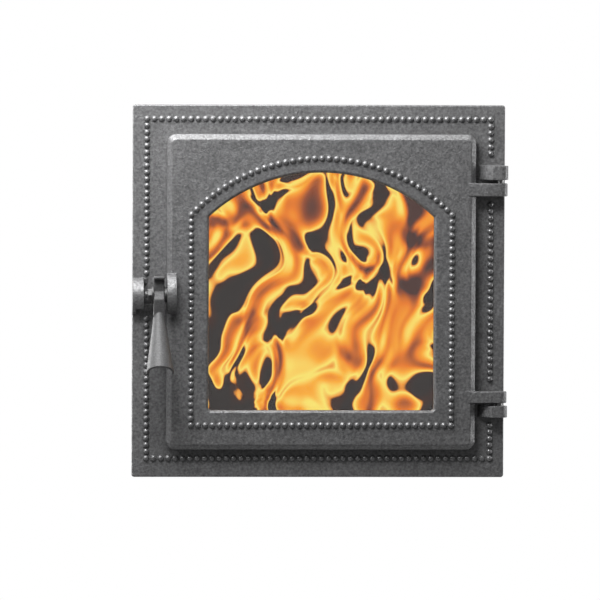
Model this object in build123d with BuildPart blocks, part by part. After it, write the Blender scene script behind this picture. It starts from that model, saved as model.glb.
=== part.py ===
from build123d import *
import os
from math import asin, atan2, cos, degrees, radians, sin, sqrt

# Cast-iron fireplace door: a square beaded frame, a hinged leaf with an arched window, and a drop handle.
# Millimetres. X runs to the right, Y into the wall and Z up.
# The origin is the centre of the frame, on the wall face that its flange lies on.

os.makedirs("parts", exist_ok=True)

# Frame: a square flange with a collar behind it that goes into the masonry
FRAME_SIZE = 410.0
FRAME_T = 6.0
FRAME_CORNER_R = 3.0
FRAME_EDGE = 1.0
COLLAR_T = 6.0
COLLAR_DEPTH = 45.0
ANCHOR_R = 4.5
ANCHOR_DEPTH = 25.0
ANCHOR_SPACING = 180.0

# Leaf: a tray with a bevelled front edge, hung a little right of the frame's centre
LEAF_W = 340.0
LEAF_H = 347.0
LEAF_X = 2.5
LEAF_Z = -0.5
LEAF_R = 10.0
CORNER_CUT = 4.0
CORNER_SHRINK = 0.05
LEAF_STAND = 16.0
LEAF_GAP = 1.0
LEAF_PANEL_T = 6.0
BEVEL_W = 5.5
BEVEL_D = 5.0
RIM_T = 7.0
GROOVE_W = 9.0
GROOVE_RIB_T = 4.0
GROOVE_RIB_BACK = 8.0

# Window: straight sides and foot under a flat arch, measured from the leaf's centre
WINDOW_W = 247.3
WINDOW_FOOT = -129.8
ARCH_CENTRE = -49.7
ARCH_R = 181.2
WINDOW_CORNER_R = 3.0
WINDOW_BEVEL = 2.5

# Beads: the border rows and the row round the window
BEAD_R = 3.35
BEAD_H = 2.7
BEAD_SINK = 0.4
BEAD_PITCH_X = 8.03
BEAD_PITCH_Z = 7.4
BORDER_X = 189.2
BORDER_TOP = 189.4
BORDER_FOOT = -184.0
WINDOW_BEAD_X = 143.3
WINDOW_BEAD_FOOT = -146.1
WINDOW_BEAD_R = 197.0

# Glass and what holds it in the leaf
GLASS_LAP = 9.0
GLASS_T = 4.0
GASKET_T = 2.0
GASKET_INSET = 2.5
BOSS_HALF = 5.5
BOSS_OUT = GLASS_LAP + 0.5 + BOSS_HALF
CLIP_LOW = -85.0
CLIP_HIGH = 45.0
CLIP_FOOT_X = 70.0
CLIP_TILT = 24.0
CLIP_W = 13.0
CLIP_T = 1.5
CLIP_CORNER = 2.0
CLIP_LAP = 8.0
CLIP_HOLE_PLAY = 0.4
PAD_T = 1.0
PAD_SETBACK = 1.0
SCREW_R = 2.1
SCREW_FLATS = 7.0
SCREW_HEAD_T = 2.8
SCREW_LENGTH = 8.0

# Rope seal and the rib of the frame that presses on it
ROPE_W = 8.2
ROPE_EDGE = 2.0
ROPE_GAP = 0.3
SEAL_RIB_T = 3.0
SEAL_RIB_H = 4.0

# Hinges: frame knuckles outside, leaf eyes inside, on one vertical line
PIN_X = 199.5
PIN_STAND = 16.0
PIN_R = 3.5
PIN_PRESS = 0.01
PIN_RUNNING = 0.06
KNUCKLE_R = 8.5
EYE_R = 7.8
UPPER_KNUCKLE = (123.4, 138.9)
UPPER_EYE = (105.3, 119.6)
LOWER_EYE = (-122.2, -109.5)
LOWER_KNUCKLE = (-138.2, -125.5)
KNUCKLE_ROOT_X = 176.5
STRAP_ROOT_X = 163.0
STRAP_RAMP = 4.5
PIN_END_GAP = 0.5
EYE_FLOOR = 2.5

# Latch: keeper on the frame, ear on the leaf, handle between them
KEEPER_W = 12.5
KEEPER_R = 19.8
KEEPER_Z = -5.5
KEEPER_HOLLOW_R = 13.8
KEEPER_POCKET = 8.0
KEEPER_WEB = 5.0
KEEPER_WEB_T = 5.2
EAR_W = 10.6
EAR_R = 22.0
EAR_Z = -2.2
STUD_R = 4.0
STUD_STAND = 30.0
STUD_Z = -3.0
STUD_IN_EAR = 9.0
STUD_END_X = -191.5
STUD_CLEARANCE = 0.05
SPACER_T = 2.8
SPACER_R = 8.5
AXIAL_PLAY = 0.1
HEAD_W = 12.0
HEAD_R = 12.5
HEAD_TOP = 17.6
HEAD_FRONT = 42.0
SCOOP_STAND = 36.5
SCOOP_TOP = 14.5
SCOOP_TURN = 1.0
SCOOP_FOOT = -9.5
NECK_FRONT = 41.0
NECK_BACK = 33.0
NECK_FOOT = -28.0
NECK_HEEL = 4.0
WASHER_T = 2.0
WASHER_R = 10.5
NUT_T = 4.5
NUT_FLATS = 13.0
NUT_CHAMFER = 0.8
NOSE_GAP = 0.4
NOSE_BACK = 14.5
NOSE_DROP = 7.0
NOSE_SIZE = 7.0
NOSE_ARM_R = 5.0

# Grip: a half cone, hollow behind, that leans away from the leaf
GRIP_LEAN = 32.0
GRIP_TOP_Z = -24.5
GRIP_TOP_STAND = 36.0
GRIP_LENGTH = 73.0
GRIP_TOP_R = 5.8
GRIP_END_R = 15.3
GRIP_SIDE = 4.0
GRIP_WALL = 2.8
GRIP_SOLID = 9.0

# Planes and places worked out from the sizes above
LEAF_FRONT = FRAME_T + LEAF_STAND
LEAF_BACK = FRAME_T + LEAF_GAP
LEAF_INNER = LEAF_FRONT - LEAF_PANEL_T
LEAF_LEFT = LEAF_X - LEAF_W / 2
LEAF_RIGHT = LEAF_X + LEAF_W / 2
GLASS_FRONT = LEAF_INNER - GASKET_T
GLASS_BACK = GLASS_FRONT - GLASS_T
CLIP_FRONT = GLASS_BACK - PAD_T
CLIP_BACK = CLIP_FRONT - CLIP_T
GROOVE_INNER = RIM_T + GROOVE_W
GROOVE_MID = RIM_T + GROOVE_W / 2
OPENING_INSET = GROOVE_INNER + 1.0
SEAL_RIB_TOP = FRAME_T + SEAL_RIB_H
HANDLE_RIGHT = LEAF_LEFT - SPACER_T - AXIAL_PLAY
HANDLE_LEFT = HANDLE_RIGHT - HEAD_W
HANDLE_X = (HANDLE_LEFT + HANDLE_RIGHT) / 2
WASHER_RIGHT = HANDLE_LEFT - AXIAL_PLAY
NUT_RIGHT = WASHER_RIGHT - WASHER_T
NUT_LEFT = NUT_RIGHT - NUT_T
KEEPER_LEFT = -FRAME_SIZE / 2
KEEPER_RIGHT = KEEPER_LEFT + KEEPER_W


def front(stand):
    """Plane facing the room, this far in front of the wall. Its x is X and its y is Z."""
    return Plane.XZ.offset(stand)


def leaf_outline():
    """The leaf's rounded rectangle, in the open sketch."""
    with Locations((LEAF_X, LEAF_Z)):
        RectangleRounded(LEAF_W, LEAF_H, LEAF_R)


def inset_outline(inset):
    """The leaf's rectangle shrunk by inset on every side, its corners cut off, as a sketch."""
    with BuildSketch() as outline:
        with Locations((LEAF_X, LEAF_Z)):
            Rectangle(LEAF_W - 2 * inset, LEAF_H - 2 * inset)
        chamfer(outline.vertices(), max(CORNER_CUT - CORNER_SHRINK * inset, 1.0))
    return outline.sketch


def inset_ring(outer, inner):
    """A ring between two insets from the leaf's outline, in the open sketch."""
    add(inset_outline(outer))
    add(inset_outline(inner), mode=Mode.SUBTRACT)


def arch(grow, corner=0.0):
    """The window's outline as a sketch about the leaf's centre, grown by this much all round."""
    half = WINDOW_W / 2 + grow
    foot = WINDOW_FOOT - grow
    radius = ARCH_R + grow
    spring = ARCH_CENTRE + sqrt(radius**2 - half**2)
    with BuildSketch() as outline:
        with BuildLine():
            Polyline((-half, spring), (-half, foot), (half, foot), (half, spring))
            ThreePointArc((half, spring), (0, ARCH_CENTRE + radius), (-half, spring))
        make_face()
        if corner:
            fillet(outline.vertices().group_by(Axis.Y)[0], corner)
    return outline.sketch


def spaced(start, end, pitch, ends=True):
    """Even steps from start to end, as close to the pitch as they divide."""
    count = max(1, round(abs(end - start) / pitch))
    steps = [start + (end - start) * i / count for i in range(count + 1)]
    return steps if ends else steps[1:-1]


def border_beads():
    """Centres of the frame's beads, with gaps at the keeper and at the two hinges."""
    rows = [(x, z) for z in (BORDER_FOOT, BORDER_TOP) for x in spaced(-BORDER_X, BORDER_X, BEAD_PITCH_X)]
    sides = [
        (-BORDER_X, KEEPER_Z - KEEPER_R - 5.0, BORDER_FOOT),
        (-BORDER_X, KEEPER_Z + KEEPER_R + 5.8, BORDER_TOP),
        (BORDER_X, UPPER_KNUCKLE[1] + 13.0, BORDER_TOP),
        (BORDER_X, LOWER_EYE[1] + 13.0, UPPER_EYE[0] - 9.5),
        (BORDER_X, LOWER_KNUCKLE[0] - 9.5, BORDER_FOOT),
    ]
    columns = []
    for x, start, end in sides:
        steps = spaced(start, end, BEAD_PITCH_Z)
        if abs(end) > BORDER_X - 10:
            steps = steps[:-1]
        columns += [(x, z) for z in steps]
    return rows + columns


def window_beads():
    """Centres of the beads round the window, about the leaf's centre."""
    spring = ARCH_CENTRE + sqrt(WINDOW_BEAD_R**2 - WINDOW_BEAD_X**2)
    half_angle = degrees(asin(WINDOW_BEAD_X / WINDOW_BEAD_R))
    arch_pitch = degrees(BEAD_PITCH_X / WINDOW_BEAD_R)
    row = [(x, WINDOW_BEAD_FOOT) for x in spaced(-WINDOW_BEAD_X, WINDOW_BEAD_X, BEAD_PITCH_X)]
    columns = [
        (x, z)
        for x in (-WINDOW_BEAD_X, WINDOW_BEAD_X)
        for z in spaced(WINDOW_BEAD_FOOT, spring, BEAD_PITCH_Z, ends=False)
    ]
    crown = [
        (WINDOW_BEAD_R * sin(radians(a)), ARCH_CENTRE + WINDOW_BEAD_R * cos(radians(a)))
        for a in spaced(-half_angle, half_angle, arch_pitch)
    ]
    return row + columns + crown


def bead():
    """One bead: half a cuboctahedron, which is a dome of seven faces, with its foot sunk below its plane."""
    with BuildPart(mode=Mode.PRIVATE) as dome:
        with BuildSketch():
            RegularPolygon(BEAD_R, 6)
        extrude(amount=BEAD_H)
        for turn, inward in ((30, BEAD_R / sqrt(3)), (90, BEAD_R / sqrt(12))):
            with BuildSketch():
                RegularPolygon(BEAD_R * sqrt(3) / 2, 3, major_radius=False, rotation=turn)
            extrude(amount=BEAD_H, taper=degrees(atan2(inward, BEAD_H)), mode=Mode.INTERSECT)
        with BuildSketch():
            RegularPolygon(BEAD_R, 6)
        extrude(amount=-BEAD_SINK)
    return dome.part


def half_round(x_from, x_to, radius, stand, z, root):
    """A half cylinder lying along X on a plane facing the room, rooted this deep behind it, in the open part."""
    with BuildSketch(Plane.YZ.offset(x_from)) as profile:
        with Locations((-stand, z)):
            Circle(radius)
        with Locations((-stand + radius, z)):
            Rectangle(2 * radius, 2 * radius, mode=Mode.SUBTRACT)
        with Locations((-stand + root / 2, z)):
            Rectangle(root, 2 * radius)
    extrude(profile.sketch, amount=x_to - x_from)


def clip_places():
    """Screw centres of the glass clips about the leaf's centre, each with the angle that its tongue points at."""
    side = WINDOW_W / 2 + BOSS_OUT
    foot = WINDOW_FOOT - BOSS_OUT
    crown_x = (ARCH_R + BOSS_OUT) * sin(radians(CLIP_TILT))
    crown_z = ARCH_CENTRE + (ARCH_R + BOSS_OUT) * cos(radians(CLIP_TILT))
    return {
        "left_lower": (-side, CLIP_LOW, 0),
        "left_upper": (-side, CLIP_HIGH, 0),
        "right_lower": (side, CLIP_LOW, 180),
        "right_upper": (side, CLIP_HIGH, 180),
        "foot_left": (-CLIP_FOOT_X, foot, 90),
        "foot_right": (CLIP_FOOT_X, foot, 90),
        "crown_left": (-crown_x, crown_z, CLIP_TILT - 90),
        "crown_right": (crown_x, crown_z, -90 - CLIP_TILT),
    }


def at_clip(place):
    """Location of one clip's screw in a sketch that faces the room."""
    x, z, angle = place
    return Locations(Location((LEAF_X + x, LEAF_Z + z, 0), (0, 0, angle)))


BEAD = bead()

# Frame casting
with BuildPart() as frame:
    with BuildSketch(front(0)):
        RectangleRounded(FRAME_SIZE, FRAME_SIZE, FRAME_CORNER_R)
    extrude(amount=FRAME_T)
    chamfer(frame.faces().sort_by(Axis.Y)[0].edges(), FRAME_EDGE)
    with BuildSketch(front(0)):
        add(inset_outline(OPENING_INSET - COLLAR_T))
    extrude(amount=-COLLAR_DEPTH)
    with BuildSketch(front(FRAME_T)):
        inset_ring(GROOVE_MID - SEAL_RIB_T / 2, GROOVE_MID + SEAL_RIB_T / 2)
    extrude(amount=SEAL_RIB_H)
    with BuildSketch(front(FRAME_T)):
        add(inset_outline(OPENING_INSET))
    extrude(amount=-FRAME_T - COLLAR_DEPTH, mode=Mode.SUBTRACT)
    for inner_x, facing in ((LEAF_LEFT + OPENING_INSET, -1), (LEAF_RIGHT - OPENING_INSET, 1)):
        with BuildSketch(Plane.YZ.offset(inner_x - facing)):
            with Locations((ANCHOR_DEPTH, -ANCHOR_SPACING / 2), (ANCHOR_DEPTH, ANCHOR_SPACING / 2)):
                Circle(ANCHOR_R)
        extrude(amount=facing * (COLLAR_T + 2), mode=Mode.SUBTRACT)
    # Keeper, with a pocket on its right that is open below, where the handle's nose comes in
    half_round(KEEPER_LEFT, KEEPER_RIGHT, KEEPER_R, FRAME_T, KEEPER_Z, 1)
    with BuildSketch(Plane.YZ.offset(KEEPER_RIGHT)):
        with Locations((-FRAME_T, KEEPER_Z)):
            Circle(KEEPER_HOLLOW_R)
        with Locations((-FRAME_T - KEEPER_HOLLOW_R / 2, KEEPER_Z - KEEPER_R / 2)):
            Rectangle(KEEPER_HOLLOW_R, KEEPER_R + 2)
        with Locations((-FRAME_T + KEEPER_R, KEEPER_Z)):
            Rectangle(2 * KEEPER_R, 2 * KEEPER_R + 4, mode=Mode.SUBTRACT)
    extrude(amount=-KEEPER_POCKET, mode=Mode.SUBTRACT)
    # Web at the keeper's top that slopes down to the flange
    with BuildSketch(Plane.XY.offset(KEEPER_Z + KEEPER_HOLLOW_R)):
        with BuildLine():
            Polyline(
                (KEEPER_RIGHT - 0.5, -FRAME_T + 1),
                (KEEPER_RIGHT - 0.5, -FRAME_T - KEEPER_WEB - 0.5),
                (KEEPER_RIGHT + KEEPER_WEB + 1, -FRAME_T + 1),
                close=True,
            )
        make_face()
    extrude(amount=KEEPER_WEB_T)
    # Hinge knuckles: a flank that rises from the flange and a round end about the pin
    for low, high in (UPPER_KNUCKLE, LOWER_KNUCKLE):
        with BuildSketch(Plane.XY.offset(low)):
            with Locations((PIN_X, -PIN_STAND)):
                Circle(KNUCKLE_R)
            with BuildLine():
                Polyline(
                    (KNUCKLE_ROOT_X, -FRAME_T + 1),
                    (KNUCKLE_ROOT_X, -FRAME_T - 2),
                    (PIN_X - 9, -PIN_STAND - KNUCKLE_R),
                    (PIN_X, -PIN_STAND - KNUCKLE_R),
                    (FRAME_SIZE / 2, -PIN_STAND),
                    (FRAME_SIZE / 2, -FRAME_T + 1),
                    close=True,
                )
            make_face()
            with Locations((PIN_X, -PIN_STAND)):
                Circle(PIN_R + PIN_PRESS, mode=Mode.SUBTRACT)
        extrude(amount=high - low)
    with Locations(front(FRAME_T)):
        with Locations(*border_beads()):
            add(BEAD)
frame.part.label = "frame"

# Leaf casting
with BuildPart() as leaf:
    with BuildSketch(front(LEAF_BACK)):
        leaf_outline()
    extrude(amount=LEAF_FRONT - LEAF_BACK - BEVEL_D)
    with BuildSketch(front(LEAF_FRONT - BEVEL_D)):
        leaf_outline()
    extrude(amount=BEVEL_D, taper=degrees(atan2(BEVEL_W, BEVEL_D)))
    # Window, with a narrow bevel round its front edge
    with BuildSketch(front(LEAF_FRONT)):
        with Locations((LEAF_X, LEAF_Z)):
            add(arch(0, WINDOW_CORNER_R))
    extrude(amount=-LEAF_PANEL_T - 1, mode=Mode.SUBTRACT)
    chamfer(leaf.faces().sort_by(Axis.Y)[0].inner_wires()[0].edges(), WINDOW_BEVEL)
    # Hollow back, with the rib that closes the rope groove and the bosses for the clips
    with BuildSketch(front(LEAF_BACK)):
        add(inset_outline(RIM_T))
    extrude(amount=LEAF_INNER - LEAF_BACK, mode=Mode.SUBTRACT)
    with BuildSketch(front(LEAF_INNER)):
        inset_ring(GROOVE_INNER, GROOVE_INNER + GROOVE_RIB_T)
    extrude(amount=GROOVE_RIB_BACK - LEAF_INNER)
    with BuildSketch(front(LEAF_INNER)):
        for place in clip_places().values():
            with at_clip(place):
                Rectangle(2 * BOSS_HALF, CLIP_W)
    extrude(amount=CLIP_FRONT - LEAF_INNER)
    with BuildSketch(front(CLIP_FRONT)):
        for place in clip_places().values():
            with at_clip(place):
                Circle(SCREW_R + PIN_PRESS)
    extrude(amount=SCREW_LENGTH, mode=Mode.SUBTRACT)
    # Hinge straps, with blind eyes: the upper opens upwards and the lower downwards
    for (low, high), bore_from, bore_to in (
        (UPPER_EYE, UPPER_EYE[0] + EYE_FLOOR, UPPER_EYE[1]),
        (LOWER_EYE, LOWER_EYE[0], LOWER_EYE[1] - EYE_FLOOR),
    ):
        with BuildSketch(Plane.XY.offset(low)):
            with Locations((PIN_X, -PIN_STAND)):
                Circle(EYE_R)
            with BuildLine():
                Polyline(
                    (STRAP_ROOT_X, -LEAF_INNER - 2),
                    (STRAP_ROOT_X, -LEAF_FRONT),
                    (STRAP_ROOT_X + STRAP_RAMP, -PIN_STAND - EYE_R),
                    (PIN_X, -PIN_STAND - EYE_R),
                    (PIN_X, -PIN_STAND + EYE_R),
                    (LEAF_RIGHT - RIM_T / 2, -PIN_STAND + EYE_R),
                    (LEAF_RIGHT - RIM_T / 2, -LEAF_INNER - 2),
                    close=True,
                )
            make_face()
        extrude(amount=high - low)
        with BuildSketch(Plane.XY.offset(bore_from)):
            with Locations((PIN_X, -PIN_STAND)):
                Circle(PIN_R + PIN_RUNNING)
        extrude(amount=bore_to - bore_from, mode=Mode.SUBTRACT)
    # Latch ear, drilled from its left for the stud
    half_round(LEAF_LEFT, LEAF_LEFT + EAR_W, EAR_R, LEAF_FRONT, EAR_Z, BEVEL_D + 1)
    with BuildSketch(Plane.YZ.offset(LEAF_LEFT)):
        with Locations((-STUD_STAND, STUD_Z)):
            Circle(STUD_R + PIN_PRESS)
    extrude(amount=STUD_IN_EAR, mode=Mode.SUBTRACT)
    with Locations(front(LEAF_FRONT)):
        with Locations(*[(LEAF_X + x, LEAF_Z + z) for x, z in window_beads()]):
            add(BEAD)
leaf.part.label = "leaf"

# Glass on its flat gasket, behind the window
with BuildPart() as window_gasket:
    with BuildSketch(front(LEAF_INNER)):
        with Locations((LEAF_X, LEAF_Z)):
            add(arch(GLASS_LAP, WINDOW_CORNER_R))
            add(arch(GASKET_INSET, WINDOW_CORNER_R), mode=Mode.SUBTRACT)
    extrude(amount=-GASKET_T)
window_gasket.part.label = "window_gasket"

with BuildPart() as window_glass:
    with BuildSketch(front(GLASS_FRONT)):
        with Locations((LEAF_X, LEAF_Z)):
            add(arch(GLASS_LAP, WINDOW_CORNER_R))
    extrude(amount=-GLASS_T)
window_glass.part.label = "window_glass"

# Rope seal in the leaf's groove, its back edges cut off
with BuildPart() as door_rope:
    with BuildSketch(front(LEAF_INNER)):
        inset_ring(GROOVE_MID - ROPE_W / 2, GROOVE_MID + ROPE_W / 2)
    extrude(amount=SEAL_RIB_TOP + ROPE_GAP - LEAF_INNER)
    chamfer(door_rope.faces().sort_by(Axis.Y)[-1].edges(), ROPE_EDGE)
door_rope.part.label = "door_rope"

# Glass clips: flat tongues on the bosses, with a pad between each and the glass
clips = {}
for name, place in clip_places().items():
    with BuildPart() as clip:
        with BuildSketch(front(CLIP_FRONT)) as outline:
            with at_clip(place):
                with Locations(((BOSS_OUT - GLASS_LAP + CLIP_LAP - BOSS_HALF) / 2, 0)):
                    Rectangle(BOSS_OUT - GLASS_LAP + CLIP_LAP + BOSS_HALF, CLIP_W)
            chamfer(outline.vertices(), CLIP_CORNER)
            with at_clip(place):
                Circle(SCREW_R + CLIP_HOLE_PLAY, mode=Mode.SUBTRACT)
        extrude(amount=-CLIP_T)
    clip.part.label = "glass_clip_" + name
    clips[clip.part.label] = clip

with BuildPart() as clip_pads:
    with BuildSketch(front(GLASS_BACK)):
        for place in clip_places().values():
            with at_clip(place):
                with Locations((BOSS_OUT - GLASS_LAP + CLIP_LAP / 2 + PAD_SETBACK, 0)):
                    Rectangle(CLIP_LAP - 2 * PAD_SETBACK, CLIP_W - 2 * PAD_SETBACK)
    extrude(amount=-PAD_T)
clip_pads.part.label = "clip_pads"

with BuildPart() as clip_screws:
    with BuildSketch(front(CLIP_BACK)):
        for place in clip_places().values():
            with at_clip(place):
                RegularPolygon(SCREW_FLATS / 2, 6, major_radius=False)
    extrude(amount=-SCREW_HEAD_T)
    with BuildSketch(front(CLIP_BACK)):
        for place in clip_places().values():
            with at_clip(place):
                Circle(SCREW_R)
    extrude(amount=SCREW_LENGTH)
clip_screws.part.label = "clip_screws"

# Hinge pins, pressed in the frame's knuckles and free in the leaf's eyes
pins = {}
for name, low, high in (
    ("upper_hinge_pin", UPPER_EYE[0] + EYE_FLOOR + PIN_END_GAP, UPPER_KNUCKLE[1]),
    ("lower_hinge_pin", LOWER_KNUCKLE[0], LOWER_EYE[1] - EYE_FLOOR - PIN_END_GAP),
):
    with BuildPart() as pin:
        with BuildSketch(Plane.XY.offset(low)):
            with Locations((PIN_X, -PIN_STAND)):
                Circle(PIN_R)
        extrude(amount=high - low)
    pin.part.label = name
    pins[name] = pin

# Handle casting: head, neck and latch nose in one profile, then the scooped grip
with BuildPart() as handle:
    with BuildSketch(Plane.YZ.offset(HANDLE_LEFT)):
        with Locations((-STUD_STAND, STUD_Z)):
            Circle(HEAD_R)
        with Locations((-STUD_STAND + NOSE_BACK, STUD_Z - NOSE_DROP)):
            Circle(NOSE_ARM_R)
        make_hull()
        with BuildLine():
            Polyline(
                (-HEAD_FRONT, STUD_Z),
                (-HEAD_FRONT, HEAD_TOP),
                (-STUD_STAND, HEAD_TOP),
                (-STUD_STAND + HEAD_R - 2, STUD_Z + HEAD_R / 2),
                close=True,
            )
        make_face()
        with BuildLine():
            Polyline(
                (-HEAD_FRONT, STUD_Z),
                (-NECK_FRONT, NECK_FOOT),
                (-NECK_BACK, NECK_FOOT),
                (-STUD_STAND + NECK_HEEL, STUD_Z - HEAD_R + 2),
                close=True,
            )
        make_face()
        with BuildLine():
            Polyline(
                (-HEAD_FRONT - 1, SCOOP_TOP),
                (-SCOOP_STAND, SCOOP_TOP - 2),
                (-SCOOP_STAND, SCOOP_TURN),
                (-HEAD_FRONT - 1, SCOOP_FOOT),
                close=True,
            )
        make_face(mode=Mode.SUBTRACT)
    extrude(amount=HEAD_W)
    with BuildSketch(Plane.YZ.offset(HANDLE_LEFT + 1)):
        with Locations((-STUD_STAND + NOSE_BACK, STUD_Z - NOSE_DROP)):
            RectangleRounded(NOSE_SIZE, NOSE_SIZE, 1.5)
    extrude(amount=KEEPER_RIGHT + NOSE_GAP - HANDLE_LEFT - 1)
    grip_top = (HANDLE_X, -GRIP_TOP_STAND, GRIP_TOP_Z)
    down = (0, -sin(radians(GRIP_LEAN)), -cos(radians(GRIP_LEAN)))
    grip_face = Plane(origin=grip_top, x_dir=(1, 0, 0), z_dir=(0, down[2], -down[1]))
    for start, radius_from, radius_to, side, mode in (
        (0, GRIP_TOP_R, GRIP_END_R, GRIP_SIDE, Mode.ADD),
        (GRIP_SOLID, GRIP_TOP_R, GRIP_END_R - GRIP_WALL, GRIP_SIDE + 1, Mode.SUBTRACT),
    ):
        top = (radius_from, -start)
        end = (radius_to, -GRIP_LENGTH)
        with BuildSketch(grip_face):
            with BuildLine():
                Polyline((0, -start), top, end, (0, -GRIP_LENGTH), close=True)
            make_face()
        revolve(axis=Axis(grip_top, down), revolution_arc=180, mode=mode)
        with BuildSketch(grip_face):
            with BuildLine():
                Polyline((-radius_from, -start), top, end, (-radius_to, -GRIP_LENGTH), close=True)
            make_face()
        extrude(amount=-side, mode=mode)
    with BuildSketch(Plane.YZ.offset(HANDLE_LEFT - 1)):
        with Locations((-STUD_STAND, STUD_Z)):
            Circle(STUD_R + STUD_CLEARANCE)
    extrude(amount=HEAD_W + 2, mode=Mode.SUBTRACT)
handle.part.label = "handle"


def turned(right, left, radius, bore=0.0, flats=0.0):
    """A disc, ring or nut on the stud's line between two places along X, in the open part."""
    with BuildSketch(Plane.YZ.offset(left)) as profile:
        with Locations((-STUD_STAND, STUD_Z)):
            if flats:
                RegularPolygon(flats / 2, 6, major_radius=False)
            else:
                Circle(radius)
            if bore:
                Circle(bore, mode=Mode.SUBTRACT)
    extrude(profile.sketch, amount=right - left)


# Stud, and the three rings on it
with BuildPart() as handle_bolt:
    turned(LEAF_LEFT + STUD_IN_EAR, STUD_END_X, STUD_R)
handle_bolt.part.label = "handle_bolt"

with BuildPart() as handle_spacer:
    turned(LEAF_LEFT, LEAF_LEFT - SPACER_T, SPACER_R, bore=STUD_R + PIN_PRESS)
handle_spacer.part.label = "handle_spacer"

with BuildPart() as handle_washer:
    turned(WASHER_RIGHT, NUT_RIGHT, WASHER_R, bore=STUD_R + PIN_PRESS)
handle_washer.part.label = "handle_washer"

with BuildPart() as handle_nut:
    turned(NUT_RIGHT, NUT_LEFT, NUT_FLATS, bore=STUD_R + PIN_PRESS, flats=NUT_FLATS)
    chamfer(handle_nut.faces().sort_by(Axis.X)[0].outer_wire().edges(), NUT_CHAMFER)
handle_nut.part.label = "handle_nut"

# One file for each piece
pieces = {
    "frame": frame,
    "leaf": leaf,
    "window_gasket": window_gasket,
    "window_glass": window_glass,
    "door_rope": door_rope,
    "clip_pads": clip_pads,
    "clip_screws": clip_screws,
    "handle": handle,
    "handle_bolt": handle_bolt,
    "handle_spacer": handle_spacer,
    "handle_washer": handle_washer,
    "handle_nut": handle_nut,
    **clips,
    **pins,
}
for name, piece in pieces.items():
    export_step(piece.part, f"parts/{name}.step")
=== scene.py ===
"""Cast-iron fireplace door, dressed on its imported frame.

The castings get rounded edges, the bead rows become smooth domes, and every piece gets its finish.
Lengths are in metres. X runs to the right, Y into the wall and Z up, from the centre of the frame.
"""

import logging
from contextlib import contextmanager
from dataclasses import dataclass, field
from enum import Enum
from math import asin, cos, pi, radians, sin, sqrt
from typing import Callable, Iterator

import bmesh
import bpy
from mathutils import Matrix, Quaternion, Vector
from mathutils.kdtree import KDTree


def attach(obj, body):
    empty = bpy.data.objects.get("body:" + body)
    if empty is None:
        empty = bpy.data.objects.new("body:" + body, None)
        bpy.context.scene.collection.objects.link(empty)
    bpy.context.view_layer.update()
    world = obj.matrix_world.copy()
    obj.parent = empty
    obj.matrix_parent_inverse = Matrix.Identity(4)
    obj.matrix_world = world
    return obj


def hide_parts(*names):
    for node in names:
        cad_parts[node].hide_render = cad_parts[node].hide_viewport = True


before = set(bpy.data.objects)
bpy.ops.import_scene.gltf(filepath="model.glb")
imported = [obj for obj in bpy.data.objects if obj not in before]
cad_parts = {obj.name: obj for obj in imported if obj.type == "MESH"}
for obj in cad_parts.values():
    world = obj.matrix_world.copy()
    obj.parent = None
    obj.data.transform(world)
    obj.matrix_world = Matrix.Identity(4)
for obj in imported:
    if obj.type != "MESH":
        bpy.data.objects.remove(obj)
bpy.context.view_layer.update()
MM = 0.001
LEAF_CENTRE = (2.5 * MM, -0.5 * MM)
NOISE_SPAN = (0.3, 0.7)

log = logging.getLogger("fireplace_door")


class Body(Enum):
    """The moving bodies of the door."""

    FRAME = "frame_body"
    LEAF = "leaf_body"
    HANDLE = "handle_body"


def pick(*pieces: bpy.types.Object) -> None:
    """Selects these pieces alone, and makes the first one active.

    Args:
        pieces: the objects to select.
    """
    bpy.ops.object.select_all(action="DESELECT")
    for piece in pieces:
        piece.select_set(True)
    bpy.context.view_layer.objects.active = pieces[0]


@contextmanager
def editing(piece: bpy.types.Object, mode: str = "FACE") -> Iterator[None]:
    """Edit mode on one piece, with nothing selected at the start.

    Args:
        piece: the mesh object to edit.
        mode: what is selected by, VERT, EDGE or FACE.

    Yields:
        Nothing, while the piece is in edit mode.
    """
    pick(piece)
    bpy.ops.object.mode_set(mode="EDIT")
    bpy.ops.mesh.select_mode(type=mode)
    bpy.ops.mesh.select_all(action="DESELECT")
    yield
    bpy.ops.object.mode_set(mode="OBJECT")


def select_edges(piece: bpy.types.Object, test: Callable[[bmesh.types.BMEdge], bool]) -> int:
    """Selects the edges that pass a test, in edit mode.

    Args:
        piece: the mesh object in edit mode.
        test: takes an edge.

    Returns:
        How many edges are selected.
    """
    mesh = bmesh.from_edit_mesh(piece.data)
    chosen = [edge for edge in mesh.edges if test(edge)]
    for edge in chosen:
        edge.select_set(True)
    bmesh.update_edit_mesh(piece.data)
    return len(chosen)


def apply_modifier(piece: bpy.types.Object, kind: str, **settings: object) -> None:
    """Adds one modifier to a piece and applies it.

    Args:
        piece: the object that gets it.
        kind: the modifier's type.
        settings: its values by name.
    """
    pick(piece)
    modifier = piece.modifiers.new(kind.lower(), kind)
    for name, value in settings.items():
        setattr(modifier, name, value)
    bpy.ops.object.modifier_apply(modifier=modifier.name)


def smooth(piece: bpy.types.Object, angle: float) -> None:
    """Shades a piece smooth, except over edges sharper than this many degrees."""
    pick(piece)
    bpy.ops.object.shade_smooth_by_angle(angle=radians(angle))


def place_in_mesh(piece: bpy.types.Object) -> None:
    """Moves a piece's place, turn and size into its mesh."""
    pick(piece)
    bpy.ops.object.transform_apply(location=True, rotation=True, scale=True)


def join(pieces: list[bpy.types.Object], name: str) -> bpy.types.Object:
    """Joins several meshes into one named piece.

    Args:
        pieces: the objects to join.
        name: the joined piece's name.

    Returns:
        The joined piece.
    """
    pick(*pieces)
    bpy.ops.object.join()
    joined = bpy.context.view_layer.objects.active
    joined.name = joined.data.name = name
    return joined


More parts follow.
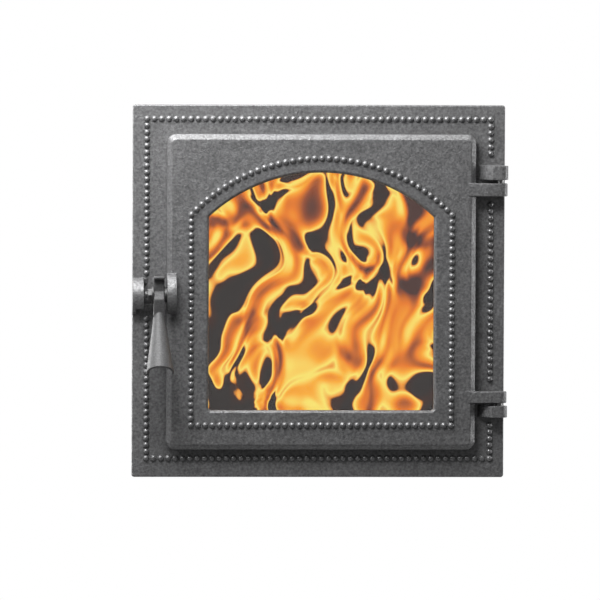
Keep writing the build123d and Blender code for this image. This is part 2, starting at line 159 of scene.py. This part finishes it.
class Nodes:
    """A node material under construction, round one Principled shader."""

    def __init__(self, name: str, **constants: object) -> None:
        """Starts the material.

        Args:
            name: the material's name.
            constants: shader socket values, with spaces written as underscores.
        """
        self.material = bpy.data.materials.new(name)
        self.material.use_nodes = True
        self.tree = self.material.node_tree
        self.shader = self.tree.nodes["Principled BSDF"]
        for socket, value in constants.items():
            self.shader.inputs[socket.replace("_", " ")].default_value = value
        self.place = self.tree.nodes.new("ShaderNodeTexCoord").outputs["Object"]

    def add(self, kind: str, inputs: dict[str, object] | None = None, **settings: object) -> bpy.types.Node:
        """Adds a node.

        Args:
            kind: the node's type without its ShaderNode prefix.
            inputs: socket values or the outputs to link to them, by socket name or number.
            settings: the node's own properties.

        Returns:
            The new node.
        """
        node = self.tree.nodes.new("ShaderNode" + kind)
        for name, value in settings.items():
            setattr(node, name, value)
        for socket, value in (inputs or {}).items():
            if isinstance(value, bpy.types.NodeSocket):
                self.tree.links.new(value, node.inputs[socket])
            else:
                node.inputs[socket].default_value = value
        return node

    def noise(self, size: float, detail: float = 2.0) -> bpy.types.NodeSocket:
        """Noise with features of about this size.

        Args:
            size: the features' size in metres.
            detail: how many finer layers it has.

        Returns:
            The noise's value.
        """
        return self.add("TexNoise", {"Vector": self.place, "Scale": 1 / size, "Detail": detail}).outputs[0]

    def ramp(
        self, value: bpy.types.NodeSocket, *stops: tuple[float, tuple[float, ...]]
    ) -> bpy.types.NodeSocket:
        """A colour ramp over a value.

        Args:
            value: what drives the ramp.
            stops: places from 0 to 1, each with its colour.

        Returns:
            The ramp's colour.
        """
        node = self.add("ValToRGB", {0: value})
        elements = node.color_ramp.elements
        while len(elements) < len(stops):
            elements.new(0.5)
        for element, (place, colour) in zip(elements, stops):
            element.position = place
            element.color = (*colour, 1.0)
        return node.outputs[0]

    def spread(self, value: bpy.types.NodeSocket, low: float, high: float) -> bpy.types.NodeSocket:
        """Maps a noise value's usual span to low and high."""
        start, end = NOISE_SPAN
        return self.add("MapRange", {0: value, 1: start, 2: end, 3: low, 4: high}).outputs[0]

    def combine(self, kind: str, first: object, second: object) -> bpy.types.NodeSocket:
        """A Math node of this operation on two values."""
        return self.add("Math", {0: first, 1: second}, operation=kind).outputs[0]

    def link(self, socket: str, value: bpy.types.NodeSocket) -> None:
        """Links a value to one of the shader's sockets."""
        self.tree.links.new(value, self.shader.inputs[socket])

    def bump(self, *layers: tuple[bpy.types.NodeSocket, float]) -> None:
        """Links bump layers to the shader.

        Args:
            layers: for each one its height from 0 to 1 and its depth in metres.
        """
        normal = None
        for height, depth in layers:
            inputs = {"Height": height, "Distance": depth, "Strength": 1.0}
            if normal:
                inputs["Normal"] = normal
            normal = self.add("Bump", inputs).outputs[0]
        self.link("Normal", normal)


@dataclass(frozen=True)
class CastIron:
    """Grey stove paint over a sand casting: fine grain, faint mottling and pits.

    Attributes:
        name: the material's name.
        tone: the paint's mean grey.
        roughness: its mean roughness.
        grain: the grain's size.
        depth: the grain's depth.
        sheen: how metallic the paint is.
    """

    name: str
    tone: float
    roughness: float
    grain: float = 1.5 * MM
    depth: float = 0.32 * MM
    sheen: float = 0.25

    def material(self) -> bpy.types.Material:
        """Builds the material.

        Returns:
            The material, ready to put on a piece.
        """
        n = Nodes(self.name, Metallic=self.sheen, Specular_IOR_Level=0.35)
        mottle = n.noise(38 * MM, detail=3)
        speckle = n.noise(self.grain * 1.7, detail=3)
        shade = n.combine("MULTIPLY", n.spread(mottle, 0.93, 1.07), n.spread(speckle, 0.68, 1.35))
        grey = n.combine("MULTIPLY", shade, self.tone)
        colour = n.add("CombineColor", {0: grey, 1: grey, 2: n.combine("MULTIPLY", grey, 1.015)}).outputs[0]
        n.link("Base Color", colour)
        rough = n.spread(n.noise(6 * MM, detail=2), self.roughness - 0.05, self.roughness + 0.06)
        n.link("Roughness", rough)
        swell, grain = n.noise(self.grain * 4, detail=2), n.noise(self.grain, detail=4)
        n.bump((swell, self.depth * 2), (grain, self.depth))
        return n.material


@dataclass(frozen=True)
class Metal:
    """Bare or plated metal with a fine grain.

    Attributes:
        name: the material's name.
        colour: the metal's colour.
        roughness: its mean roughness.
    """

    name: str
    colour: tuple[float, float, float]
    roughness: float

    def material(self) -> bpy.types.Material:
        """Builds the material.

        Returns:
            The material, ready to put on a piece.
        """
        n = Nodes(self.name, Metallic=1.0)
        grain = n.noise(0.5 * MM, detail=3)
        tint = n.spread(n.noise(4 * MM), 0.85, 1.1)
        base = n.add("VectorMath", {0: self.colour, "Scale": tint}, operation="SCALE").outputs[0]
        n.link("Base Color", base)
        n.link("Roughness", n.spread(grain, self.roughness - 0.08, self.roughness + 0.1))
        n.bump((grain, 0.012 * MM))
        return n.material


@dataclass(frozen=True)
class Fibre:
    """Woven or pressed fibre of the seals.

    Attributes:
        name: the material's name.
        colour: the fibre's colour.
        strand: the width of a strand.
        depth: how deep the weave is.
    """

    name: str
    colour: tuple[float, float, float]
    strand: float
    depth: float

    def material(self) -> bpy.types.Material:
        """Builds the material.

        Returns:
            The material, ready to put on a piece.
        """
        n = Nodes(self.name, Roughness=0.9)
        n.shader.inputs["Sheen Weight"].default_value = 0.15
        weave = n.add(
            "TexWave",
            {
                "Vector": n.place,
                "Scale": 0.3 / self.strand,
                "Distortion": 2.0,
                "Detail": 2.0,
                "Detail Scale": 2.0,
            },
            bands_direction="DIAGONAL",
        ).outputs[1]
        fuzz = n.noise(self.strand * 0.3, detail=3)
        ridges = n.add("MapRange", {0: weave, 3: 0.75, 4: 1.1}).outputs[0]
        shade = n.combine("MULTIPLY", n.spread(fuzz, 0.7, 1.2), ridges)
        base = n.add("VectorMath", {0: self.colour, "Scale": shade}, operation="SCALE").outputs[0]
        n.link("Base Color", base)
        n.bump((weave, self.depth), (fuzz, self.depth * 0.4))
        return n.material


@dataclass(frozen=True)
class HeatGlass:
    """Clear heat-resistant glass with a faint film."""

    name: str = "heat_glass"

    def material(self) -> bpy.types.Material:
        """Builds the material.

        Returns:
            The material, ready to put on a piece.
        """
        n = Nodes(self.name, Base_Color=(0.97, 0.98, 0.97, 1.0), IOR=1.45, Transmission_Weight=1.0)
        n.shader.inputs["Specular IOR Level"].default_value = 0.3
        n.link("Roughness", n.spread(n.noise(25 * MM), 0.0, 0.02))
        return n.material


PLATE_PAINT = CastIron("plate_paint", tone=0.16, roughness=0.42, sheen=0.4)
LEAF_PAINT = CastIron("leaf_paint", tone=0.15, roughness=0.42, sheen=0.4)
# Painted highlight: the beads' paint is a lighter copy of the plate paint, and its higher tone brightens
# their glints.
BEAD_PAINT_LIGHTENED_FOR_GLINTS = CastIron("bead_paint_painted_glints", tone=0.20, roughness=0.36, depth=0.04 * MM, sheen=0.6)
# Painted shade: the handle's paint is a darker copy of the plate paint, and its low tone stands in for shade
# on the grip.
HANDLE_PAINT_DARKENED_AS_SHADE = CastIron(
    "handle_paint_painted_shade", tone=0.058, roughness=0.50, grain=0.9 * MM, depth=0.08 * MM, sheen=0.22
)
ZINC = Metal("zinc_plate", (0.50, 0.50, 0.49), 0.38)
PIN_STEEL = Metal("pin_steel", (0.26, 0.26, 0.26), 0.42)
BLACKED = Metal("blackened_steel", (0.09, 0.09, 0.09), 0.52)
ROPE_FIBRE = Fibre("graphite_rope", (0.04, 0.04, 0.042), 0.5 * MM, 0.08 * MM)
TAPE_FIBRE = Fibre("seal_tape", (0.50, 0.49, 0.45), 0.7 * MM, 0.10 * MM)


@dataclass
class BeadRows:
    """The bead rows, as smooth domes on the castings.

    Attributes:
        radius: a bead's radius at its foot.
        height: a bead's height.
        sunk: how far its foot reaches below the surface.
        sides: how many sides its round has.
        rings: how many rings the ball has that it is cut from.
        pitch_x: the spacing of the level rows.
        pitch_z: the spacing of the upright rows.
        border_x: how far the frame's upright rows stand from the middle.
        border_top: the height of its upper row.
        border_foot: the height of its lower row.
        keeper_gap: where the left row stops for the keeper.
        upper_gap: where the right row stops for the upper hinge.
        lower_gap: where it stops for the lower hinge.
        window_x: how far the window's upright rows stand from the leaf's centre.
        window_foot: the height of its lower row.
        window_radius: the radius of its arch.
        arch_centre: the height of the arch's centre.
        leaf_centre: the leaf's centre in X and Z.
        plate_front: the frame's front face in Y.
        leaf_front: the leaf's front face in Y.
    """

    radius: float = 3.45 * MM
    height: float = 3.4 * MM
    sunk: float = 0.3 * MM
    sides: int = 12
    rings: int = 8
    pitch_x: float = 8.03 * MM
    pitch_z: float = 7.4 * MM
    border_x: float = 189.2 * MM
    border_top: float = 189.4 * MM
    border_foot: float = -184.0 * MM
    keeper_gap: tuple[float, float] = (-30.3 * MM, 20.1 * MM)
    upper_gap: tuple[float, float] = (95.8 * MM, 151.9 * MM)
    lower_gap: tuple[float, float] = (-147.7 * MM, -96.5 * MM)
    window_x: float = 143.3 * MM
    window_foot: float = -146.1 * MM
    window_radius: float = 197.0 * MM
    arch_centre: float = -49.7 * MM
    leaf_centre: tuple[float, float] = LEAF_CENTRE
    plate_front: float = -6.0 * MM
    leaf_front: float = -22.0 * MM

    @staticmethod
    def spaced(start: float, end: float, pitch: float) -> list[float]:
        """Even steps between two ends, as close to the pitch as they divide.

        Args:
            start: the first place.
            end: the last place.
            pitch: the spacing to come close to.

        Returns:
            The places, with both ends.
        """
        count = max(1, round(abs(end - start) / pitch))
        return [start + (end - start) * i / count for i in range(count + 1)]

    def border_places(self) -> list[Vector]:
        """Places the frame's beads, with gaps at the keeper and at the hinges.

        Returns:
            Their feet. The corner beads belong to the level rows.
        """
        places = []
        for z in (self.border_foot, self.border_top):
            places += [(x, z) for x in self.spaced(-self.border_x, self.border_x, self.pitch_x)]
        uprights = (
            (-1, self.keeper_gap[0], self.border_foot),
            (-1, self.keeper_gap[1], self.border_top),
            (1, self.upper_gap[1], self.border_top),
            (1, self.lower_gap[1], self.upper_gap[0]),
            (1, self.lower_gap[0], self.border_foot),
        )
        for side, start, end in uprights:
            steps = self.spaced(start, end, self.pitch_z)
            if end in (self.border_foot, self.border_top):
                steps = steps[:-1]
            places += [(side * self.border_x, z) for z in steps]
        return [Vector((x, self.plate_front, z)) for x, z in places]

    def window_places(self) -> list[Vector]:
        """Places the beads round the window.

        Returns:
            Their feet.
        """
        spring = self.arch_centre + sqrt(self.window_radius**2 - self.window_x**2)
        half_angle = asin(self.window_x / self.window_radius)
        places = [(x, self.window_foot) for x in self.spaced(-self.window_x, self.window_x, self.pitch_x)]
        for x in (-self.window_x, self.window_x):
            places += [(x, z) for z in self.spaced(self.window_foot, spring, self.pitch_z)[1:-1]]
        for angle in self.spaced(-half_angle, half_angle, self.pitch_x / self.window_radius):
            x, z = self.window_radius * sin(angle), self.window_radius * cos(angle)
            places.append((x, self.arch_centre + z))
        x_0, z_0 = self.leaf_centre
        return [Vector((x_0 + x, self.leaf_front, z_0 + z)) for x, z in places]

    def dome(self) -> bpy.types.Object:
        """Models one bead: the upper half of a ball, flattened, with a short wall under it.

        Returns:
            The bead, facing the room, with its foot at the origin.
        """
        bpy.ops.object.select_all(action="DESELECT")
        bpy.ops.mesh.primitive_uv_sphere_add(segments=self.sides, ring_count=self.rings, radius=self.radius)
        bead = bpy.context.object
        with editing(bead):
            bpy.ops.mesh.select_all(action="SELECT")
            bpy.ops.mesh.bisect(plane_co=(0, 0, 0), plane_no=(0, 0, 1), clear_inner=True)
            bpy.ops.mesh.select_all(action="SELECT")
            bpy.ops.transform.resize(value=(1, 1, self.height / self.radius))
            bpy.ops.mesh.select_mode(type="EDGE")
            bpy.ops.mesh.select_all(action="DESELECT")
            select_edges(bead, lambda edge: edge.is_boundary)
            bpy.ops.mesh.extrude_region_move(TRANSFORM_OT_translate={"value": (0, 0, -self.sunk)})
            bpy.ops.mesh.edge_face_add()
        bead.rotation_euler = (pi / 2, 0, 0)
        place_in_mesh(bead)
        return bead

    def row(self, name: str, places: list[Vector], body: Body, finish: bpy.types.Material) -> None:
        """Copies one bead to every place, as one piece.

        Args:
            name: the piece's name.
            places: the beads' feet.
            body: what the row rides on.
            finish: its material.
        """
        bead = self.dome()
        copies = [bead]
        for place in places[1:]:
            copy = bpy.data.objects.new(name, bead.data.copy())
            bpy.context.collection.objects.link(copy)
            copy.data.transform(Matrix.Translation(place))
            copies.append(copy)
        bead.data.transform(Matrix.Translation(places[0]))
        beads = join(copies, name)
        smooth(beads, 60)
        beads.data.materials.clear()
        beads.data.materials.append(finish)
        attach(beads, body.value)
        log.info("%s: %d beads", name, len(places))

    def build(self, finish: bpy.types.Material) -> None:
        """Builds the rows of beads on the frame and on the leaf."""
        self.row("border_beads", self.border_places(), Body.FRAME, finish)
        self.row("window_beads", self.window_places(), Body.LEAF, finish)


@dataclass
class Casting:
    """A casting with its edges rounded, as sand and paint leave them.

    Attributes:
        node: the CAD node whose form it has.
        name: the new piece's name.
        body: what it rides on.
        slot: the record's material slot, which is not used.
        edge: the radius of its edges.
        steps: how many faces each rounded edge has.
        beads: feet of the beads that stand on it, which stay as they are.
        bead_reach: how far from a bead's foot the edges stay sharp.
        sharp: edges that turn by more than this many degrees are rounded.
        flat: faces that turn by less than this many degrees are merged.
        weld: points closer than this are merged.
    """

    node: str
    name: str
    body: Body
    slot: str
    edge: float = 0.7 * MM
    steps: int = 2
    beads: list[Vector] = field(default_factory=list)
    bead_reach: float = 4.5 * MM
    sharp: float = 28.0
    flat: float = 0.5
    weld: float = 0.002 * MM

    def rounded(self) -> bpy.types.Object:
        """Copies the node's mesh, merges it and rounds its sharp edges.

        Returns:
            The new piece.
        """
        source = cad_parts[self.node]
        piece = bpy.data.objects.new(self.name, source.data.copy())
        bpy.context.collection.objects.link(piece)
        tree = KDTree(max(1, len(self.beads)))
        for i, foot in enumerate(self.beads):
            tree.insert(foot, i)
        tree.balance()

        def is_sharp(edge: bmesh.types.BMEdge) -> bool:
            """Tells an edge of the casting's own form from a bead's.

            Args:
                edge: an edge of the merged mesh.

            Returns:
                True where it is to be rounded.
            """
            if len(edge.link_faces) != 2 or edge.calc_face_angle(0) < radians(self.sharp):
                return False
            if not self.beads:
                return True
            middle = (edge.verts[0].co + edge.verts[1].co) / 2
            return tree.find(middle)[2] > self.bead_reach

        with editing(piece, "EDGE"):
            bpy.ops.mesh.select_all(action="SELECT")
            bpy.ops.mesh.remove_doubles(threshold=self.weld)
            bpy.ops.mesh.dissolve_limited(angle_limit=radians(self.flat))
            bpy.ops.mesh.select_all(action="DESELECT")
            count = select_edges(piece, is_sharp)
            bpy.ops.mesh.bevel(offset=self.edge, segments=self.steps, affect="EDGES", clamp_overlap=False)
        smooth(piece, 32)
        apply_modifier(piece, "WEIGHTED_NORMAL", keep_sharp=True, weight=80)
        log.info("%s: %d edges rounded, %d faces", self.name, count, len(piece.data.polygons))
        return piece

    def build(self, finish: bpy.types.Material) -> bpy.types.Object:
        """Builds the casting and lets it stand for its node.

        Args:
            finish: the casting's paint.

        Returns:
            The new piece.
        """
        piece = self.rounded()
        piece.data.materials.clear()
        piece.data.materials.append(finish)
        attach(piece, self.body.value)
        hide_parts(self.node)
        return piece


@dataclass
class RopeSeal:
    """The rope in the leaf's groove: round strands twisted about a line in the groove's middle.

    Attributes:
        width: the line's width from left to right.
        height: its height.
        corner: the radius of its corners.
        middle: its place in Y.
        centre: the leaf's centre in X and Z.
        strands: how many strands the rope has.
        radius: a strand's radius.
        reach: how far the strands' middles go to the side and in depth.
        pitch: the length of one twist.
        step: the spacing of the strands' points.
    """

    width: float = 317 * MM
    height: float = 324 * MM
    corner: float = 8 * MM
    middle: float = -13.15 * MM
    centre: tuple[float, float] = LEAF_CENTRE
    strands: int = 4
    radius: float = 1.5 * MM
    reach: tuple[float, float] = (2.4 * MM, 1.3 * MM)
    pitch: float = 21 * MM
    step: float = 1.5 * MM

    def line(self) -> list[tuple[Vector, Vector]]:
        """Steps evenly along the groove's middle.

        Returns:
            Each place with the way out from the leaf's centre.
        """
        right, top = self.width / 2 - self.corner, self.height / 2 - self.corner
        middle = Vector((self.centre[0], self.middle, self.centre[1]))
        corners = [middle + Vector((x * right, 0, z * top)) for x, z in ((1, 1), (-1, 1), (-1, -1), (1, -1))]
        bends = round(self.corner * pi / 2 / self.step)
        line = []
        for quarter, corner in enumerate(corners):
            for i in range(bends):
                angle = (quarter + i / bends) * pi / 2
                out = Vector((cos(angle), 0, sin(angle)))
                line.append((corner + out * self.corner, out))
            angle = (quarter + 1) * pi / 2
            out = Vector((cos(angle), 0, sin(angle)))
            run = corners[(quarter + 1) % 4] - corner
            count = round(run.length / self.step)
            line += [(corner + out * self.corner + run * i / count, out) for i in range(count)]
        return line

    def build(self, finish: bpy.types.Material) -> None:
        """Lays the strands as curves and makes them one mesh.

        Args:
            finish: the rope's material.
        """
        line = self.line()
        turns = round(len(line) * self.step / self.pitch)
        curve = bpy.data.curves.new("door_rope_strands", "CURVE")
        curve.dimensions = "3D"
        curve.bevel_depth, curve.bevel_resolution = self.radius, 2
        for strand in range(self.strands):
            spline = curve.splines.new("POLY")
            spline.points.add(len(line) - 1)
            spline.use_cyclic_u = True
            for i, (place, out) in enumerate(line):
                angle = 2 * pi * (turns * i / len(line) + strand / self.strands)
                side, depth = self.reach[0] * cos(angle), self.reach[1] * sin(angle)
                spline.points[i].co = (*(place + out * side + Vector((0, depth, 0))), 1)
        rope = bpy.data.objects.new("door_rope_strands", curve)
        bpy.context.collection.objects.link(rope)
        pick(rope)
        bpy.ops.object.convert(target="MESH")
        rope = bpy.context.object
        smooth(rope, 60)
        rope.data.materials.clear()
        rope.data.materials.append(finish)
        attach(rope, Body.LEAF.value)
        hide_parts("door_rope")
        log.info("door rope: %d strands, %d twists", self.strands, turns)


@dataclass
class HearthFire:
    """A backdrop inside the frame's opening: flames seen through the glass, clear from behind.

    Attributes:
        width: the opening's width.
        height: the opening's height.
        depth: how far behind the wall face it stands.
        warp: how far the flames are bent.
        warp_scale: how many bends there are in a metre.
        flame_scale: how many flames there are in a metre.
        rise: the flames' height scale, below one for tall flames.
        colours: the ramp from cold to hot.
    """

    width: float = 300 * MM
    height: float = 306 * MM
    depth: float = 12 * MM
    warp: float = 0.16
    warp_scale: float = 9.0
    flame_scale: float = 17.0
    rise: float = 0.45
    colours: tuple[tuple[float, tuple[float, float, float]], ...] = (
        (0.40, (0.026, 0.020, 0.019)),
        (0.452, (0.050, 0.018, 0.012)),
        (0.462, (0.90, 0.30, 0.03)),
        (0.485, (1.0, 0.80, 0.16)),
        (0.53, (1.0, 0.42, 0.03)),
        (0.58, (0.85, 0.20, 0.01)),
        (0.64, (0.32, 0.07, 0.02)),
        (0.70, (0.07, 0.03, 0.025)),
    )

    def material(self) -> bpy.types.Material:
        """Builds flames from warped noise, with bright rims round dark gaps.

        Returns:
            The material, which glows from the front and is clear from behind.
        """
        n = Nodes("hearth_fire")
        waves = {"Vector": n.place, "Scale": self.warp_scale, "Detail": 1.0}
        warp = n.add("TexNoise", waves).outputs["Color"]
        offset = n.add("VectorMath", {0: warp, 1: (0.5, 0.5, 0.5)}, operation="SUBTRACT").outputs[0]
        bent = n.add("VectorMath", {0: offset, "Scale": self.warp}, operation="SCALE").outputs[0]
        where = n.add("VectorMath", {0: n.place, 1: bent}, operation="ADD").outputs[0]
        stretched = n.add("Mapping", {"Vector": where, "Scale": (1.0, 1.0, self.rise)}).outputs[0]
        tongues = {"Vector": stretched, "Scale": self.flame_scale, "Detail": 1.5, "Distortion": 1.6}
        flame = n.add("TexNoise", tongues).outputs[0]
        height = n.add("SeparateXYZ", {0: n.place}).outputs[2]
        lift = n.add("MapRange", {0: height, 1: -0.14, 2: 0.10, 3: -0.05, 4: 0.035}).outputs[0]
        heat = n.combine("ADD", flame, lift)
        colour = n.ramp(heat, *self.colours)
        glow = n.add("Emission", {"Color": colour, "Strength": 1.0}).outputs[0]
        clear = n.add("BsdfTransparent").outputs[0]
        behind = n.add("NewGeometry").outputs["Backfacing"]
        mixed = n.add("MixShader", {0: behind, 1: glow, 2: clear}).outputs[0]
        n.tree.links.new(mixed, n.tree.nodes["Material Output"].inputs["Surface"])
        return n.material

    def build(self) -> None:
        """Builds the backdrop."""
        bpy.ops.object.select_all(action="DESELECT")
        place = (LEAF_CENTRE[0], self.depth, LEAF_CENTRE[1])
        bpy.ops.mesh.primitive_plane_add(size=1, location=place, rotation=(pi / 2, 0, 0))
        fire = bpy.context.object
        fire.name = "hearth_fire"
        fire.scale = (self.width, self.height, 1)
        place_in_mesh(fire)
        fire.data.materials.append(self.material())
        fire.visible_diffuse = fire.visible_glossy = fire.visible_shadow = False
        log.info("hearth fire: backdrop at %.0f mm", self.depth / MM)


@dataclass(frozen=True)
class Lamp:
    """A soft light aimed at the door.

    Attributes:
        name: the light's name.
        place: where it hangs.
        width: its level side.
        height: its other side.
        power: its power in watts.
    """

    name: str
    place: tuple[float, float, float]
    width: float
    height: float
    power: float

    def build(self) -> None:
        """Adds the light."""
        data = bpy.data.lights.new(self.name, "AREA")
        data.shape = "RECTANGLE"
        data.size, data.size_y = self.width, self.height
        data.energy = self.power
        light = bpy.data.objects.new(self.name, data)
        light.location = self.place
        light.rotation_euler = Vector(self.place).to_track_quat("Z", "Y").to_euler()
        bpy.context.scene.collection.objects.link(light)


LAMPS = (
    Lamp("overhead", (-0.34, -0.18, 0.66), 0.90, 0.45, 12.0),
    Lamp("side", (-0.95, -0.60, 0.35), 0.35, 0.35, 3.0),
    Lamp("front", (-0.45, -0.98, 1.08), 0.70, 0.26, 15.0),
    Lamp("top_rim", (0.05, 0.10, 0.95), 0.90, 0.25, 5.0),
    Lamp("right_rim", (1.10, 0.14, 0.10), 0.30, 0.80, 4.5),
    Lamp("left_rim", (-0.90, 0.50, 0.10), 0.45, 0.80, 10.0),
)


@dataclass
class Studio:
    """Pale floor, soft light and the camera.

    Attributes:
        azimuth: how far to the right the camera stands, in degrees.
        elevation: how far up it stands, in degrees.
        roll: how far it is turned anticlockwise, in degrees.
        distance: its distance from the frame's centre.
        view_width: what the picture spans at the frame.
        aim: the point at the picture's middle, from the frame's centre.
        floor_drop: how far the floor lies below the frame's centre.
        dim: the grey of the world as a light.
        room: how bright the world in front of the door is in reflections.
    """

    azimuth: float = -3.0
    elevation: float = 3.0
    roll: float = 0.25
    distance: float = 10.0
    view_width: float = 0.6597
    aim: tuple[float, float, float] = (-0.0204, -0.01, -0.0095)
    floor_drop: float = 0.60
    dim: float = 0.16
    room: float = 0.16

    def camera(self) -> None:
        """Sets up the camera."""
        data = bpy.data.cameras.new("camera")
        data.sensor_width = 36.0
        data.lens = data.sensor_width * self.distance / self.view_width
        data.clip_start, data.clip_end = 0.5, 60.0
        turn, rise = radians(self.azimuth), radians(self.elevation)
        back = Vector((sin(turn) * cos(rise), -cos(turn) * cos(rise), sin(rise)))
        camera = bpy.data.objects.new("camera", data)
        camera.location = Vector(self.aim) + back * self.distance
        level = back.to_track_quat("Z", "Y")
        camera.rotation_euler = (level @ Quaternion((0, 0, 1), radians(self.roll))).to_euler()
        bpy.context.scene.collection.objects.link(camera)
        bpy.context.scene.camera = camera

    def world(self) -> None:
        """Makes the world white behind the door, also in reflections and through glass, and dim elsewhere."""
        world = bpy.data.worlds.new("studio")
        bpy.context.scene.world = world
        world.use_nodes = True
        nodes, links = world.node_tree.nodes, world.node_tree.links

        def math(kind: str, first: bpy.types.NodeSocket, second: object) -> bpy.types.NodeSocket:
            """Adds a Math node on two values.

            Args:
                kind: its operation.
                first: the output linked to it first.
                second: another output or a number.

            Returns:
                The node's value.
            """
            node = nodes.new("ShaderNodeMath")
            node.operation = kind
            links.new(first, node.inputs[0])
            if isinstance(second, bpy.types.NodeSocket):
                links.new(second, node.inputs[1])
            else:
                node.inputs[1].default_value = second
            return node.outputs[0]

        rays = nodes.new("ShaderNodeLightPath").outputs
        towards = nodes.new("ShaderNodeSeparateXYZ")
        links.new(nodes.new("ShaderNodeTexCoord").outputs["Generated"], towards.inputs[0])
        behind = nodes.new("ShaderNodeMapRange")
        links.new(towards.outputs["Y"], behind.inputs[0])
        for socket, value in ((1, -0.35), (2, 0.1), (3, self.room), (4, 1.0)):
            behind.inputs[socket].default_value = value
        seen = math("MAXIMUM", rays["Is Camera Ray"], rays["Is Transmission Ray"])
        mirrored = math("MULTIPLY", rays["Is Glossy Ray"], behind.outputs[0])
        strength = math("MAXIMUM", math("MAXIMUM", seen, mirrored), self.dim)
        links.new(strength, nodes["Background"].inputs["Strength"])
        nodes["Background"].inputs["Color"].default_value = (1, 1, 1, 1)

    def floor(self) -> None:
        """Lays the pale floor, which sends no light back up at the door."""
        n = Nodes("pale_floor", Base_Color=(0.86, 0.86, 0.85, 1.0), Roughness=0.7)
        n.shader.inputs["Emission Color"].default_value = (1.0, 1.0, 1.0, 1.0)
        n.shader.inputs["Emission Strength"].default_value = 0.55
        bpy.ops.object.select_all(action="DESELECT")
        bpy.ops.mesh.primitive_plane_add(size=3.0, location=(0, 0, -self.floor_drop))
        floor = bpy.context.object
        floor.name = "floor"
        place_in_mesh(floor)
        floor.data.materials.append(n.material)
        floor.visible_diffuse = floor.visible_glossy = False

    def build(self) -> None:
        """Builds the floor, lights and camera."""
        self.floor()
        self.world()
        for lamp in LAMPS:
            lamp.build()
        self.camera()
        bpy.context.scene.view_settings.view_transform = "Standard"
        log.info("studio: camera at %.1f, %.1f degrees", self.azimuth, self.elevation)


def dress(names: list[str], finish: bpy.types.Material) -> None:
    """Gives CAD nodes a material.

    Args:
        names: the nodes' names.
        finish: the material.
    """
    for name in names:
        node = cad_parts[name]
        node.data.materials.clear()
        node.data.materials.append(finish)


def main() -> None:
    """Builds the door's pieces and the studio in order."""
    logging.basicConfig(level=logging.INFO, format="%(message)s")
    # The handle's material is the darkened paint, which is painted shade on the grip.
    plate, leaf, handle = PLATE_PAINT.material(), LEAF_PAINT.material(), HANDLE_PAINT_DARKENED_AS_SHADE.material()
    zinc, blacked = ZINC.material(), BLACKED.material()
    rope, tape = ROPE_FIBRE.material(), TAPE_FIBRE.material()
    beads = BeadRows()
    Casting("frame", "frame_casting", Body.FRAME, "frame_iron", beads=beads.border_places()).build(plate)
    Casting(
        "leaf", "leaf_casting", Body.LEAF, "leaf_iron", edge=1.0 * MM, beads=beads.window_places()
    ).build(leaf)
    Casting("handle", "handle_casting", Body.HANDLE, "handle_iron", edge=1.3 * MM, steps=3).build(handle)
    # The beads get the lightened paint, which is a painted highlight on their glints.
    beads.build(BEAD_PAINT_LIGHTENED_FOR_GLINTS.material())
    dress(["upper_hinge_pin", "lower_hinge_pin"], PIN_STEEL.material())
    dress(["handle_bolt", "handle_nut", "handle_washer", "handle_spacer"], blacked)
    dress(["clip_screws", *(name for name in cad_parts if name.startswith("glass_clip"))], zinc)
    RopeSeal().build(rope)
    dress(["window_gasket", "clip_pads"], tape)
    dress(["window_glass"], HeatGlass().material())
    HearthFire().build()
    Studio().build()


if __name__ == "__main__":
    main()
